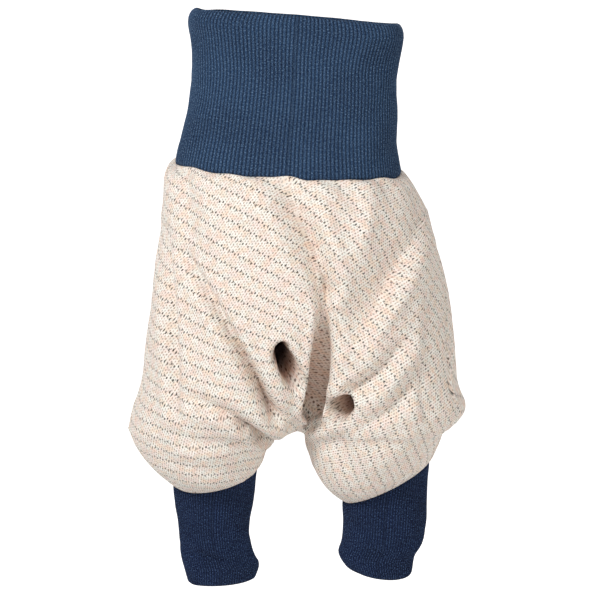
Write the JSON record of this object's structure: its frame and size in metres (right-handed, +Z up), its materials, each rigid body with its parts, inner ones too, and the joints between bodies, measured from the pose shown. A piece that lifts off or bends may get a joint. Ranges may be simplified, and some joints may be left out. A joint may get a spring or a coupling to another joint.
{
  "type": "baby harem pants with a tall ribbed waistband and ribbed leg cuffs",
  "caption": "Baby harem pants with a tall ribbed waistband, a full gathered body with a low crotch, and long ribbed cuffs, in the filled-out shape of wear.",
  "frame": {"origin": "middle of the waistband where it grips the waist, at its narrowest ring", "axes": "+X to the viewer's right when seen from the front, +Y towards the back, +Z up along the body"},
  "size_m": [0.254, 0.1691, 0.4349],
  "materials": {
    "body_knit": "matt cream jacquard knit with rows of small dashes",
    "rib_knit": "matt navy rib knit"
  },
  "bodies": {
    "root": {"waistband": "rib_knit", "front_panel": "body_knit", "back_panel": "body_knit", "left_cuff": "rib_knit", "right_cuff": "rib_knit"}
  },
  "joints": []
}
